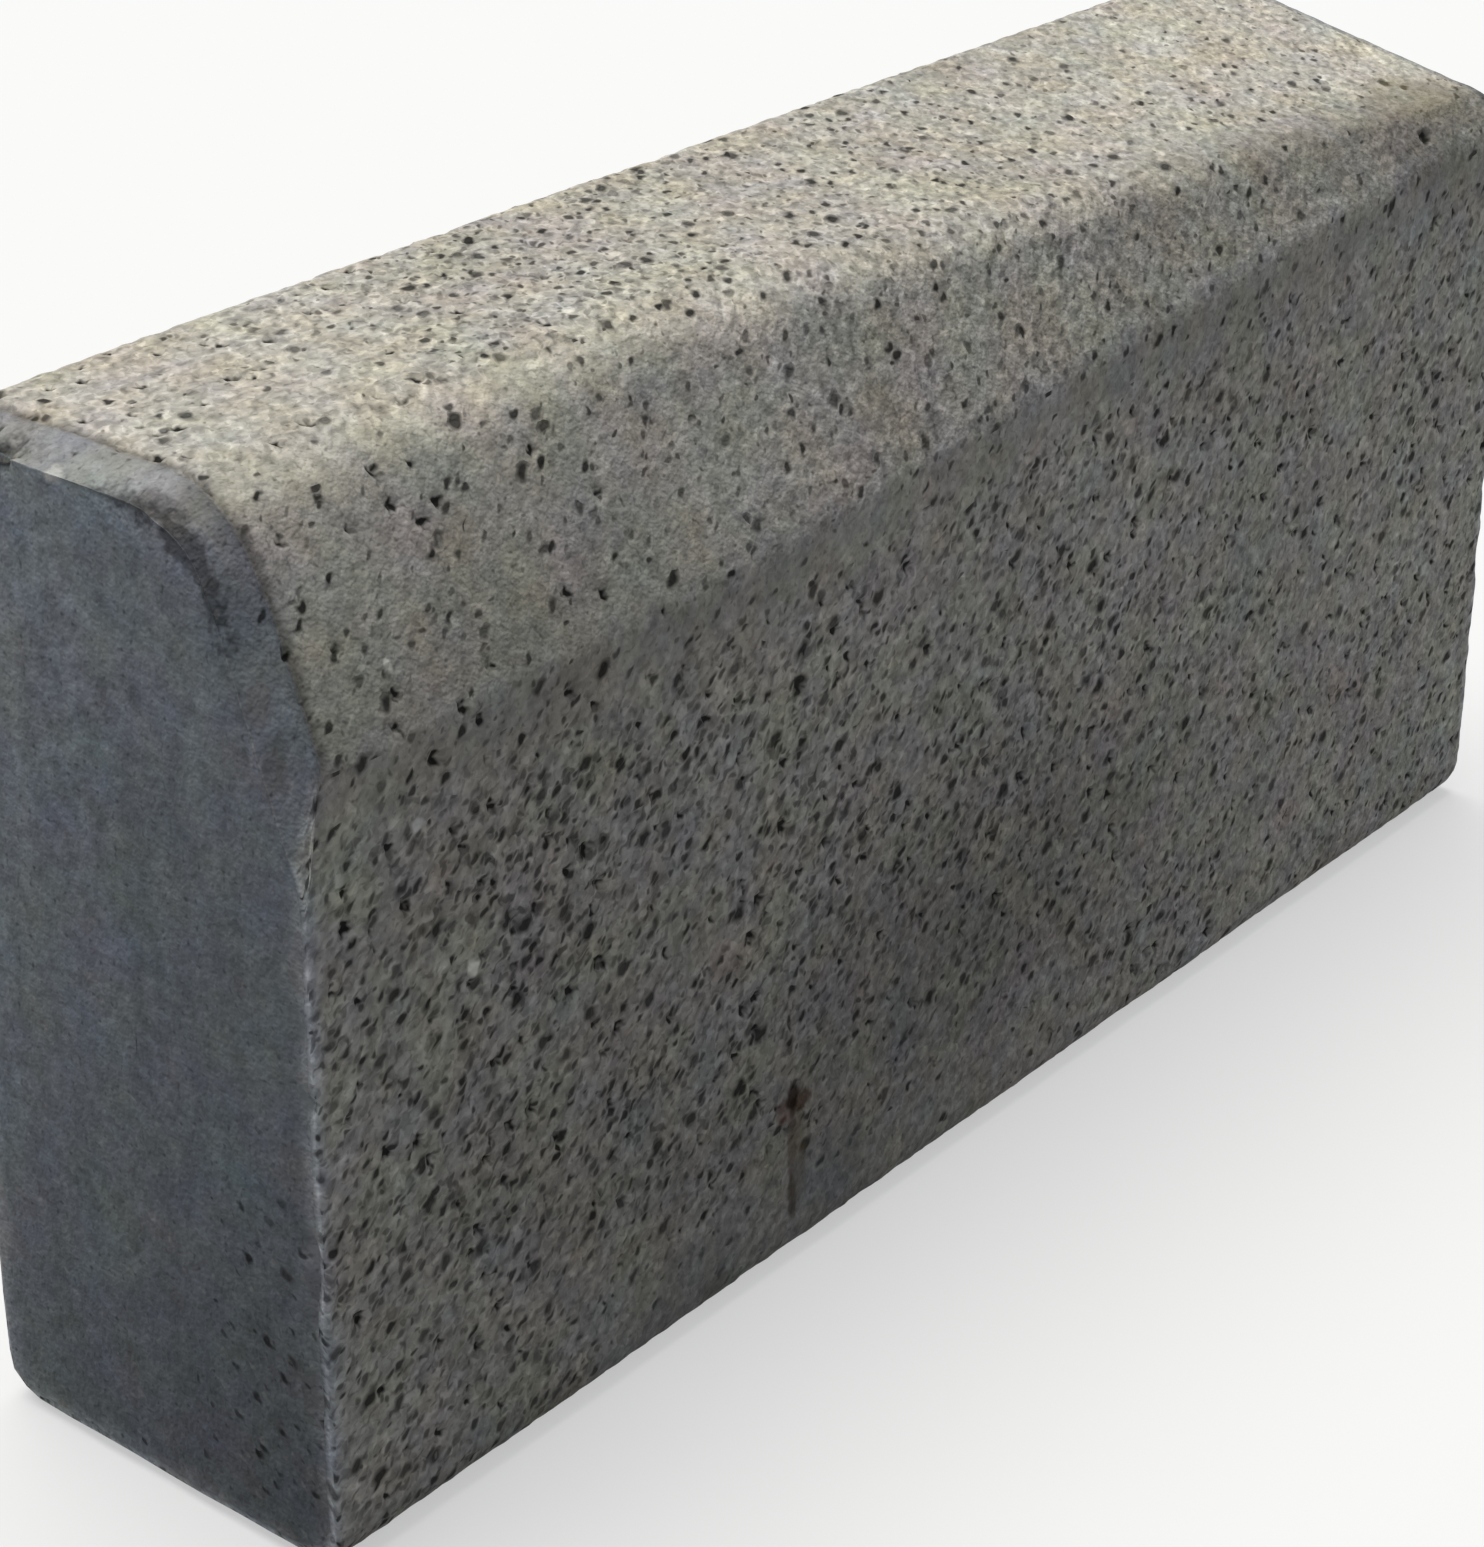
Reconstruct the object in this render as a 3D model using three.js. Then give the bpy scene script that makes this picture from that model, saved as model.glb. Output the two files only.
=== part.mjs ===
// Precast concrete kerb stone: a transition unit, battered at one end and nearly square at
// the other.
//
// Millimetres, +Z up. The stone stands on its bed. X runs along its length from the battered
// end to the square one, the road face looks along -Y, and the origin is in the middle of the
// bed.
//
// The stone is one casting, so it is one closed body: a loft of cross-sections. A section has
// five sides with filleted corners between them, and it changes along the length as the
// batter runs out. Near an end face each side also closes in by its own end treatment: a flat
// chamfer over the top and the batter, which narrows towards the crease, a round at the bed,
// and a small broken arris up the road face and the back. At the battered end the crease dips
// and the nose comes forward over the chamfer, so that the batter is longer and steeper in the
// end face than in the body.
import * as THREE from 'three';

// ---- Driving dimensions ----
const LENGTH = 500;                 // over the two end faces
const WIDTH = 110;                  // road face to back face
const HEIGHT = 250;                 // bed to the back edge of the top

const BATTERED_CREASE_DROP = 53;    // battered end: from the stone's height down to the crease
const BATTERED_LEAN = 31;           // how far the batter leans back, to the line of the top
const BATTERED_TOP_FALL = 0;        // how far the top falls towards the road
const BATTERED_NOSE_RADIUS = 28;    // roll from the batter into the top

const SQUARE_CREASE_DROP = 29;      // square end: the same four sizes
const SQUARE_LEAN = 8;
const SQUARE_TOP_FALL = 22;
const SQUARE_NOSE_RADIUS = 9;

const TRANSITION_START = 110;       // battered end face to where the section starts to change
const TRANSITION_EASE = 60;         // over which the change starts gently

const CREASE_RADIUS = 12;           // between the upright face and the batter
const TOP_BACK_RADIUS = 6;          // back edge of the top
const BED_RADIUS = 10;              // long edges of the bed
const BED_END_RADIUS = 5;           // edges of the bed under the end faces
const CHAMFER_LENGTH = 11;          // end chamfer over the top and the batter, along the stone
const CHAMFER_DEPTH = 5;            // end chamfer, measured square to the top or the batter
const CREASE_CHAMFER_LENGTH = 5;    // to which the chamfer narrows where it meets the crease
const UPRIGHT_ARRIS = 2.5;          // radius of the broken upright edges of the end faces

const CREASE_DIP = 20;              // battered end: how far the crease dips over its chamfer
const NOSE_ADVANCE = 4;             // how far the nose comes forward over its chamfer

// ---- Facets ----
const STATIONS = 26;                // sections between the two end treatments
const END_STATIONS = 8;             // sections in each end treatment
const NOSE_STEPS = 9;
const BED_STEPS = 4;
const SMALL_STEPS = 3;

const ROAD_Y = -WIDTH / 2;
const BACK_Y = WIDTH / 2;
const END_REACH = Math.max(CHAMFER_LENGTH, CREASE_CHAMFER_LENGTH, BED_END_RADIUS, UPRIGHT_ARRIS);
const QUARTER_TURN = Math.PI / 2;

const mix = THREE.MathUtils.lerp;

// Share of the way from the battered section (0) to the square one (1), at a distance from
// the battered end: nothing, then a parabola over the ease, then a straight run.
function change(distance) {
  const gained = (run) => {
    if (run < TRANSITION_EASE) return (run * run) / (2 * TRANSITION_EASE);
    return run - TRANSITION_EASE / 2;
  };
  return gained(Math.max(0, distance - TRANSITION_START)) / gained(LENGTH - TRANSITION_START);
}

// A straight slope in a gap from the end face: 1 in the end face, and nothing past a length.
const slope = (length, gap) => Math.max(0, 1 - gap / length);

// How far a side closes in at a gap from the end face where its edge is a quarter round, which
// meets the side smoothly.
function roundInset(radius, gap) {
  const short = Math.max(0, radius - gap);
  return radius - Math.sqrt(radius * radius - short * short);
}

// The corners of the section at a distance from the battered end, anticlockwise as seen from
// the square end, starting at the bed's back edge. radius and steps are a corner's fillet and
// the facets of that. insets are how far the sides before and after it close in there.
function sectionCorners(distance) {
  const share = change(distance);
  const gap = Math.min(distance, LENGTH - distance);
  const chamfer = CHAMFER_DEPTH * slope(CHAMFER_LENGTH, gap);
  const lowChamfer = CHAMFER_DEPTH * slope(CREASE_CHAMFER_LENGTH, gap);
  const arris = roundInset(UPRIGHT_ARRIS, gap);
  const bed = roundInset(BED_END_RADIUS, gap);
  const dip = CREASE_DIP * slope(CREASE_CHAMFER_LENGTH, distance);
  const advance = NOSE_ADVANCE * slope(CHAMFER_LENGTH, distance);
  const creaseZ = HEIGHT - mix(BATTERED_CREASE_DROP, SQUARE_CREASE_DROP, share) - dip;
  const noseY = ROAD_Y + mix(BATTERED_LEAN, SQUARE_LEAN, share) - advance;
  const noseZ = HEIGHT - mix(BATTERED_TOP_FALL, SQUARE_TOP_FALL, share);
  const noseRadius = mix(BATTERED_NOSE_RADIUS, SQUARE_NOSE_RADIUS, share);
  const corner = (y, z, radius, steps, ...insets) => ({
    place: new THREE.Vector2(y, z), radius, steps, insets,
  });
  return [
    corner(BACK_Y, 0, BED_RADIUS, BED_STEPS, bed, arris),
    corner(BACK_Y, HEIGHT, TOP_BACK_RADIUS, SMALL_STEPS, arris, chamfer),
    corner(noseY, noseZ, noseRadius, NOSE_STEPS, chamfer, chamfer),
    corner(ROAD_Y, creaseZ, CREASE_RADIUS, SMALL_STEPS, lowChamfer, arris),
    corner(ROAD_Y, 0, BED_RADIUS, BED_STEPS, arris, bed),
  ];
}

// Unit vectors from a place towards its two neighbours.
function directions(before, here, after) {
  return [before.clone().sub(here).normalize(), after.clone().sub(here).normalize()];
}

// The corners' places after the sides have moved inwards there by their insets.
function insetPlaces(corners) {
  return corners.map(({ place, insets: [before, after] }, i) => {
    const next = corners[(i + 1) % corners.length];
    const [toBefore, toAfter] = directions(corners.at(i - 1).place, place, next.place);
    const sine = toAfter.cross(toBefore);
    return place.clone()
      .addScaledVector(toBefore, after / sine)
      .addScaledVector(toAfter, before / sine);
  });
}

// A filleted corner as points along an arc that is tangent to both sides.
function filletPoints(before, here, after, radius, steps) {
  const [toBefore, toAfter] = directions(before, here, after);
  const halfAngle = Math.acos(toBefore.dot(toAfter)) / 2;
  const towardsCentre = toBefore.clone().add(toAfter).normalize();
  const centre = here.clone().addScaledVector(towardsCentre, radius / Math.sin(halfAngle));
  const start = here.clone().addScaledVector(toBefore, radius / Math.tan(halfAngle));
  const turn = Math.PI - 2 * halfAngle;
  const turned = (k) => start.clone().rotateAround(centre, (turn * k) / steps);
  return Array.from({ length: steps + 1 }, (_, k) => turned(k));
}

// The section at a distance from the battered end, as a ring of points in space.
function ring(distance) {
  const corners = sectionCorners(distance);
  const places = insetPlaces(corners);
  const outline = corners.flatMap(({ radius, steps }, i) => {
    const after = places[(i + 1) % places.length];
    return filletPoints(places.at(i - 1), places[i], after, radius, steps);
  });
  return outline.map((point) => new THREE.Vector3(distance - LENGTH / 2, point.x, point.y));
}

// Distances of the rings from the battered end: close together in the end treatments, where
// the sides turn into the end faces, and even between them.
function stations() {
  const ends = [];
  for (let k = 0; k < END_STATIONS; k += 1) {
    ends.push(END_REACH * (1 - Math.cos((QUARTER_TURN * k) / END_STATIONS)));
  }
  const between = [];
  for (let k = 0; k < STATIONS; k += 1) {
    between.push(mix(END_REACH, LENGTH - END_REACH, k / (STATIONS - 1)));
  }
  return [...ends, ...between, ...ends.map((gap) => LENGTH - gap).reverse()];
}

// Skins a run of rings and closes it with a flat cap at each end.
function loft(rings) {
  const count = rings[0].length;
  const index = [];
  for (let r = 0; r + 1 < rings.length; r += 1) {
    for (let i = 0; i < count; i += 1) {
      const j = (i + 1) % count;
      const [a, b] = [r * count, (r + 1) * count];
      index.push(a + i, a + j, b + i, a + j, b + j, b + i);
    }
  }
  const last = (rings.length - 1) * count;
  const flatten = (points) => points.map((point) => new THREE.Vector2(point.y, point.z));
  const firstCap = THREE.ShapeUtils.triangulateShape(flatten(rings[0]), []);
  const lastCap = THREE.ShapeUtils.triangulateShape(flatten(rings.at(-1)), []);
  firstCap.forEach(([a, b, c]) => index.push(a, c, b));
  lastCap.forEach(([a, b, c]) => index.push(last + a, last + b, last + c));
  const geometry = new THREE.BufferGeometry().setFromPoints(rings.flat());
  geometry.setIndex(index);
  geometry.computeVertexNormals();
  return geometry;
}

function kerbStone() {
  const concrete = new THREE.MeshStandardMaterial({ color: 0x8b8980, roughness: 0.92, metalness: 0 });
  const mesh = new THREE.Mesh(loft(stations().map(ring)), concrete);
  mesh.name = 'kerb_stone';
  return mesh;
}

const kerb = new THREE.Group();
kerb.add(kerbStone());

export default kerb;
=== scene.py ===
"""Concrete transition kerb stone: its weathered surface, with a floor, plain light and a camera.

Metres, +Z up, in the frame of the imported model. The stone stands on its bed at z = 0, with its
road face along -Y and its battered end at -X. One closed surface stands for the one casting.
It follows the section of the solid and is worn inwards only, so it stays inside the solid.
"""
import math
from types import SimpleNamespace

import bmesh
import bpy
import numpy as np
from mathutils import Matrix, Vector


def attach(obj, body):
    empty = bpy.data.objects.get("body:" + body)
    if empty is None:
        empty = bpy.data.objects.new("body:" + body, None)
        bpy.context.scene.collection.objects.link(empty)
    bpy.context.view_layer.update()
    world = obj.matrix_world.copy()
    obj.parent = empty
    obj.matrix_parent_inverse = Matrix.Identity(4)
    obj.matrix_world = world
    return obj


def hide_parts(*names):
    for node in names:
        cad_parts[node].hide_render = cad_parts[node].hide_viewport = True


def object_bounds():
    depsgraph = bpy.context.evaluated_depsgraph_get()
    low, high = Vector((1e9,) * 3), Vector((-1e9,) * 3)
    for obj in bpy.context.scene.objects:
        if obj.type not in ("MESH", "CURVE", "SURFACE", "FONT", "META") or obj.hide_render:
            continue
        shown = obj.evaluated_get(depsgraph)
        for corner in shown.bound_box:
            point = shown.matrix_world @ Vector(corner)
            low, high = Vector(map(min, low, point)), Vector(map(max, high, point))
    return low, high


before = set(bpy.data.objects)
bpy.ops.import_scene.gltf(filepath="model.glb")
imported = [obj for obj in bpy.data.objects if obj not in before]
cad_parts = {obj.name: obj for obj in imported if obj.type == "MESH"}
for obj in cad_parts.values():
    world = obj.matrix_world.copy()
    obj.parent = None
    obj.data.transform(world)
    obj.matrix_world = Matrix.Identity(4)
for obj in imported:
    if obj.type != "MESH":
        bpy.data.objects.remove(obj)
cad_low, cad_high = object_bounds()

MM = 0.001
TINY = 1e-9
SEED = 41

# ---- The stone's own sizes ----
LENGTH, WIDTH, HEIGHT = cad_high - cad_low
ROAD_Y, BACK_Y = cad_low.y, cad_high.y

# A section's crease lies a drop below the top and its batter leans back from the road face.
# The top falls towards the nose, whose radius is the last size.
BATTERED = {"drop": 53 * MM, "lean": 31 * MM, "fall": 0 * MM, "nose": 28 * MM}
SQUARE = {"drop": 29 * MM, "lean": 8 * MM, "fall": 22 * MM, "nose": 9 * MM}
TRANSITION_START = 110 * MM
TRANSITION_EASE = 60 * MM
CREASE_RADIUS = 12 * MM
TOP_BACK_RADIUS = 6 * MM
BED_RADIUS = 10 * MM
BED_END_RADIUS = 5 * MM
CHAMFER_LENGTH = 11 * MM
CHAMFER_DEPTH = 5 * MM
CREASE_CHAMFER_LENGTH = 5 * MM
UPRIGHT_ARRIS = 2.5 * MM
CREASE_DIP = 20 * MM
NOSE_ADVANCE = 4 * MM

# ---- How finely the surface is divided ----
ARC_STEPS = (3, 3, 12, 4, 5)        # bed back, top back, nose, crease, bed road
SIDE_STEPS = (14, 48, 30, 104, 8)   # back, top, batter, road face, bed
PITCHES = (                         # mm from the battered end, mm between sections there
    (0, 0.3), (4, 0.6), (16, 0.8), (24, 1.35), (300, 1.5), (484, 1.8), (494, 1.0), (500, 0.4))
PITCH_SAMPLES = 5001                # along the stone, when the sections are spaced
NEAR_CAP_RINGS = 18
FAR_CAP_RINGS = 8
CAP_CROWDING = 1.6                  # over 1, an end face's rings crowd towards its rim
SPINE_STEP = 3 * MM                 # between the points where an end face's rings meet
JOIN_WITHIN = 0.001 * MM            # points nearer than this are one point


# ---- Form ----

def change(distance):
    """Share of the way from the battered section to the square one: nothing up to the start,
    then a parabola over the ease, then a straight run to the far end."""
    def gained(run):
        eased = run ** 2 / (2 * TRANSITION_EASE)
        return np.where(run < TRANSITION_EASE, eased, run - TRANSITION_EASE / 2)
    whole = gained(np.float64(LENGTH - TRANSITION_START))
    return gained(np.maximum(distance - TRANSITION_START, 0)) / whole


def round_inset(radius, gap):
    """A quarter round: radius less the root of radius squared less (radius - gap) squared."""
    short = np.maximum(radius - gap, 0)
    return radius - np.sqrt(radius ** 2 - short ** 2)


def slope(length, gap):
    """A straight slope in a gap from the end face: 1 in the end face, nothing past a length."""
    return np.maximum(1 - gap / length, 0)


def section_sizes(distance):
    """The four sizes of the batter and the nose, part of the way from one end's to the other's."""
    share = change(distance)
    return {name: BATTERED[name] + (SQUARE[name] - BATTERED[name]) * share for name in SQUARE}


def section_corners(distance):
    """Corner places (station, corner, yz) after each side has closed in, and their fillets.

    The corners run anticlockwise seen from the square end, from the bed's back edge. Where two
    sides move in by a and b, their corner moves by (a along the other side + b along the
    first) / sine of the angle between them.
    """
    gap = np.minimum(distance, LENGTH - distance)
    chamfer = CHAMFER_DEPTH * slope(CHAMFER_LENGTH, gap)
    low_chamfer = CHAMFER_DEPTH * slope(CREASE_CHAMFER_LENGTH, gap)
    arris = round_inset(UPRIGHT_ARRIS, gap)
    bed = round_inset(BED_END_RADIUS, gap)
    size = section_sizes(distance)
    crease_z = HEIGHT - size["drop"] - CREASE_DIP * slope(CREASE_CHAMFER_LENGTH, distance)
    nose_y = ROAD_Y + size["lean"] - NOSE_ADVANCE * slope(CHAMFER_LENGTH, distance)
    flat = np.ones_like(distance)
    corners = np.stack([
        np.stack([BACK_Y * flat, 0 * flat], -1),
        np.stack([BACK_Y * flat, HEIGHT * flat], -1),
        np.stack([nose_y, HEIGHT - size["fall"]], -1),
        np.stack([ROAD_Y * flat, crease_z], -1),
        np.stack([ROAD_Y * flat, 0 * flat], -1),
    ], 1)
    before = np.stack([bed, arris, chamfer, low_chamfer, arris], 1)
    after = np.stack([arris, chamfer, chamfer, arris, bed], 1)
    to_before, to_after = neighbours(corners)
    sine = to_after[..., 0] * to_before[..., 1] - to_after[..., 1] * to_before[..., 0]
    moved = to_before * (after / sine)[..., None] + to_after * (before / sine)[..., None]
    radii = np.stack([BED_RADIUS * flat, TOP_BACK_RADIUS * flat, size["nose"],
                      CREASE_RADIUS * flat, BED_RADIUS * flat], 1)
    return corners + moved, radii


def batter_rise(distance):
    """The upward part of the batter's normal: its lean / the root of lean squared + its own
    height squared."""
    size = section_sizes(distance)
    return size["lean"] / np.hypot(size["lean"], size["drop"] - size["fall"])


def neighbours(corners):
    """Unit vectors from each corner to the one before it and the one after it."""
    to_before = np.roll(corners, 1, 1) - corners
    to_after = np.roll(corners, -1, 1) - corners
    return (to_before / np.linalg.norm(to_before, axis=-1, keepdims=True),
            to_after / np.linalg.norm(to_after, axis=-1, keepdims=True))


def section_outline(distance):
    """Outlines (station, point, yz): each corner as an arc tangent to its sides, each side as
    even steps from the end of one arc to the start of the next."""
    corners, radii = section_corners(distance)
    to_before, to_after = neighbours(corners)
    half = np.arccos((to_before * to_after).sum(-1)) / 2
    middle = to_before + to_after
    middle /= np.linalg.norm(middle, axis=-1, keepdims=True)
    centre = corners + middle * (radii / np.sin(half))[..., None]
    start = corners + to_before * (radii / np.tan(half))[..., None] - centre
    pieces = []
    for k, steps in enumerate(ARC_STEPS):
        angle = (math.pi - 2 * half[:, k, None]) * np.linspace(0, 1, steps + 1)
        y, z = start[:, k, 0, None], start[:, k, 1, None]
        arc = np.stack([y * np.cos(angle) - z * np.sin(angle),
                        y * np.sin(angle) + z * np.cos(angle)], -1)
        pieces.append(arc + centre[:, k, None])
    outline = []
    for k, steps in enumerate(SIDE_STEPS):
        leave, arrive = pieces[k][:, -1:], pieces[(k + 1) % len(pieces)][:, :1]
        share = np.arange(1, steps)[:, None] / steps
        outline += [pieces[k], leave + (arrive - leave) * share]
    return np.concatenate(outline, 1)


def stations():
    """Distances from the battered end. The reciprocal of the wanted spacing is summed along
    the stone, and the sum is cut into equal parts."""
    fine = np.linspace(0, LENGTH, PITCH_SAMPLES)
    at, pitch = np.array(PITCHES).T * MM
    passed = np.cumsum((fine[1] - fine[0]) / np.interp(fine, at, pitch))
    passed -= passed[0]
    return np.interp(np.linspace(0, passed[-1], round(passed[-1])), passed, fine)


def cap_rings(rim, count):
    """Rings (count, point, yz) that shrink in straight lines from an end face's rim to its
    spine, an upright line half the width inside the bed and the top."""
    low, high = rim[:, 1].min() + WIDTH / 2, rim[:, 1].max() - WIDTH / 2
    spine_z = np.round(np.clip(rim[:, 1], low, high) / SPINE_STEP) * SPINE_STEP
    spine = np.stack([np.zeros_like(spine_z), spine_z], -1)
    share = (np.arange(1, count + 1) / count)[:, None, None]
    return rim + (spine - rim) * share ** CAP_CROWDING


def stone_form():
    """The smooth form as one grid of points (ring, point, xyz), with outward normals: the
    cross product of the way round and the way along. The first and last rings lie in the end
    faces."""
    distance = stations()
    outline = section_outline(distance)
    near = cap_rings(outline[0], NEAR_CAP_RINGS)[::-1]
    far = cap_rings(outline[-1], FAR_CAP_RINGS)
    yz = np.concatenate([near, outline, far])
    x = np.concatenate([np.zeros(NEAR_CAP_RINGS), distance, np.full(FAR_CAP_RINGS, LENGTH)])
    points = np.empty((*yz.shape[:2], 3))
    points[..., 0] = (x - LENGTH / 2)[:, None]
    points[..., 1:] = yz
    along = np.gradient(points, axis=0)
    around = np.roll(points, -1, 1) - np.roll(points, 1, 1)
    normals = np.cross(around, along)
    normals /= np.maximum(np.linalg.norm(normals, axis=-1, keepdims=True), TINY)
    normals[:NEAR_CAP_RINGS] = (-1, 0, 0)
    normals[-FAR_CAP_RINGS:] = (1, 0, 0)
    return points, normals


# ---- Wear ----

def lattice_noise(points, size, seed):
    """Smooth noise from 0 to 1: random values on a cubic lattice of this size, blended with
    the weights 3 t^2 - 2 t^3 along each axis."""
    low = points.reshape(-1, points.shape[-1]).min(0)
    cell = (points - low) / size
    corner = np.floor(cell).astype(int)
    weight = cell - corner
    weight = weight * weight * (3 - 2 * weight)
    values = np.random.default_rng(seed).random(corner.reshape(-1, 3).max(0) + 2)
    total = np.zeros(points.shape[:-1])
    for step in np.ndindex(2, 2, 2):
        share = np.prod(np.where(np.array(step) == 1, weight, 1 - weight), -1)
        i, j, k = np.moveaxis(corner + np.array(step), -1, 0)
        total += share * values[i, j, k]
    return total


def cavities(place, spacing, narrowest, widest, share, seed):
    """Scattered round holes, one at most in each square of a jittered grid on the surface.

    Gives how far inside its hole a point is, 1 - (distance / radius)^2, and the hole's radius.
    """
    low = place.reshape(-1, 2).min(0) - spacing
    cell = (place - low) / spacing
    corner = np.floor(cell).astype(int)
    draw = np.random.default_rng(seed).random((*(corner.reshape(-1, 2).max(0) + 2), 4))
    inside = np.zeros(place.shape[:-1])
    reach = np.zeros_like(inside)
    for step in np.ndindex(3, 3):
        i, j = np.moveaxis(corner + np.array(step) - 1, -1, 0)
        jitter_x, jitter_y, size, present = np.moveaxis(draw[i, j], -1, 0)
        offset = np.stack([i + jitter_x, j + jitter_y], -1) * spacing - (place - low)
        radius = narrowest + (widest - narrowest) * size ** 2
        here = np.where(present < share, 1 - (offset ** 2).sum(-1) / radius ** 2, 0)
        reach = np.where(here > inside, radius, reach)
        inside = np.maximum(inside, here)
    return inside, reach


def smooth_step(low, high, value):
    """3 t^2 - 2 t^3 of the share t of the way from low to high."""
    t = np.clip((value - low) / (high - low), 0, 1)
    return t * t * (3 - 2 * t)


def near_to(distance, reach):
    """A bell, e to the minus (distance / reach)^2: 1 at no distance, about a third at reach."""
    return np.exp(-(distance / reach) ** 2)


def way_round(points):
    """The way round each section, from the bed's back edge over the bed, the road face and the
    top: the lengths of the steps, summed. The closing point is there at both ends. In an end
    treatment, a point has the value that lies in the same direction from the section's middle
    where the treatment starts, so that a pattern runs straight across the treatment."""
    closed = np.concatenate([points, points[:, :1]], 1)
    steps = np.linalg.norm(np.diff(closed, axis=1), axis=-1)
    walked = np.cumsum(steps[:, ::-1], 1)[:, ::-1]
    walked = np.concatenate([walked, np.zeros((len(points), 1))], 1)
    bearing = np.unwrap(np.arctan2(closed[..., 2] - HEIGHT / 2, closed[..., 1]), axis=1)
    untreated = np.flatnonzero(LENGTH / 2 - np.abs(points[:, 0, 0]) > CHAMFER_LENGTH)
    for rings, start in ((range(untreated[0]), untreated[0]),
                         (range(untreated[-1] + 1, len(points)), untreated[-1])):
        for ring in rings:
            walked[ring] = np.interp(bearing[ring], bearing[start], walked[start])
    return walked


def way_along(points):
    """The way from the middle of the stone towards its square end, summed over the rings. A
    step is the root of (step in x) squared + (step across the section's outline) squared."""
    closed = np.concatenate([points, points[:, :1]], 1)
    around = np.gradient(closed[..., 1:], axis=1)
    across = np.stack([around[..., 1], -around[..., 0]], -1)
    across /= np.maximum(np.linalg.norm(across, axis=-1, keepdims=True), TINY)
    inwards = (across[1:] * np.diff(closed[..., 1:], axis=0)).sum(-1)
    steps = np.hypot(np.diff(closed[..., 0], axis=0), inwards)
    walked = np.concatenate([np.zeros_like(steps[:1]), np.cumsum(steps, 0)])
    return walked - walked[len(walked) // 2]


def quad_corners(grid):
    """The values (ring, point, corner) at the corners of a grid's quads."""
    return np.stack([grid[:-1, :-1], grid[:-1, 1:], grid[1:, 1:], grid[1:, :-1]], 2)


def surface_places(points, side):
    """Coordinates along the surface for the corners of each quad: the ways along and round on
    the sides, y and z on the end faces."""
    face = quad_corners(np.concatenate([points, points[:, :1]], 1)[..., 1:])
    place = quad_corners(side)
    place[:NEAR_CAP_RINGS] = face[:NEAR_CAP_RINGS]
    place[-FAR_CAP_RINGS:] = face[-FAR_CAP_RINGS:]
    return place


def end_distance(points):
    """How far each point is from the rim of the nearer end face."""
    near_rim, far_rim = points[NEAR_CAP_RINGS], points[-FAR_CAP_RINGS - 1]
    distance = LENGTH / 2 - np.abs(points[..., 0])
    distance[:NEAR_CAP_RINGS] = np.linalg.norm(points[:NEAR_CAP_RINGS] - near_rim, axis=-1)
    distance[-FAR_CAP_RINGS:] = np.linalg.norm(points[-FAR_CAP_RINGS:] - far_rim, axis=-1)
    return distance


def fade(value, start, full):
    """A smooth step in mm, from 0 at the start to 1 where it is full."""
    return smooth_step(start * MM, full * MM, value)


def bell(value, centre, reach):
    """A bell in mm: 1 at its centre, and about a third at its reach to either side."""
    return near_to(value - centre * MM, reach * MM)


def layered(rows):
    """The sum of the rows, where each is an amount times all its shares."""
    return sum(amount * math.prod(shares) for amount, *shares in rows)


def left_by(rows):
    """What is left of 1 when each row in turn takes its amount times all its shares."""
    return math.prod(1 - amount * math.prod(shares) for amount, *shares in rows)


# The part of a normal that points up, or to the road, where a place begins and where it is full
UPWARD = (0.32, 0.88)
SLOPING = (0.12, 0.3)
FACING_ROAD = (0.5, 0.8)
NOSE_TOP = (0.99, 0.95)             # where the top begins to roll over the nose
NOSE_ROLL = (0.99, 0.9)             # the same with a softer start
BATTER_TOP = (0.97, 0.86)           # where the nose passes into the batter
BATTER_MATCH = 0.16                 # how near to the batter's own slope counts as batter
SHADE_BEGINS, SHADE_EASES = (0.925, 0.86), (0.8, 0.6)   # down the roll of an end chamfer
SHADE_EASE = 0.4                    # the part of that shade which goes again
UPRIGHT = (0.3, 0.0)                # from a slope to an upright face

CHAMFER_GROWTH = (178, 232)         # heights in mm, from the crease's chamfer to the full one
CHAMFER_EDGE = 0.4                  # mm, half the blur of a chamfer's edge
CREASE_BAND = 16 * MM               # the tamper's smooth band under the crease
WITNESS_GAP, WITNESS_REACH = 0.8 * MM, 1.5 * MM
SPALL_REACH, SPALL_CENTRE, SPALL_RUN = 4.2 * MM, np.array((-20, 239)) * MM, 26 * MM
BROKEN_CORNER, BROKEN_REACH = np.array((-250, 35, 246)) * MM, 9 * MM


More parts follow.
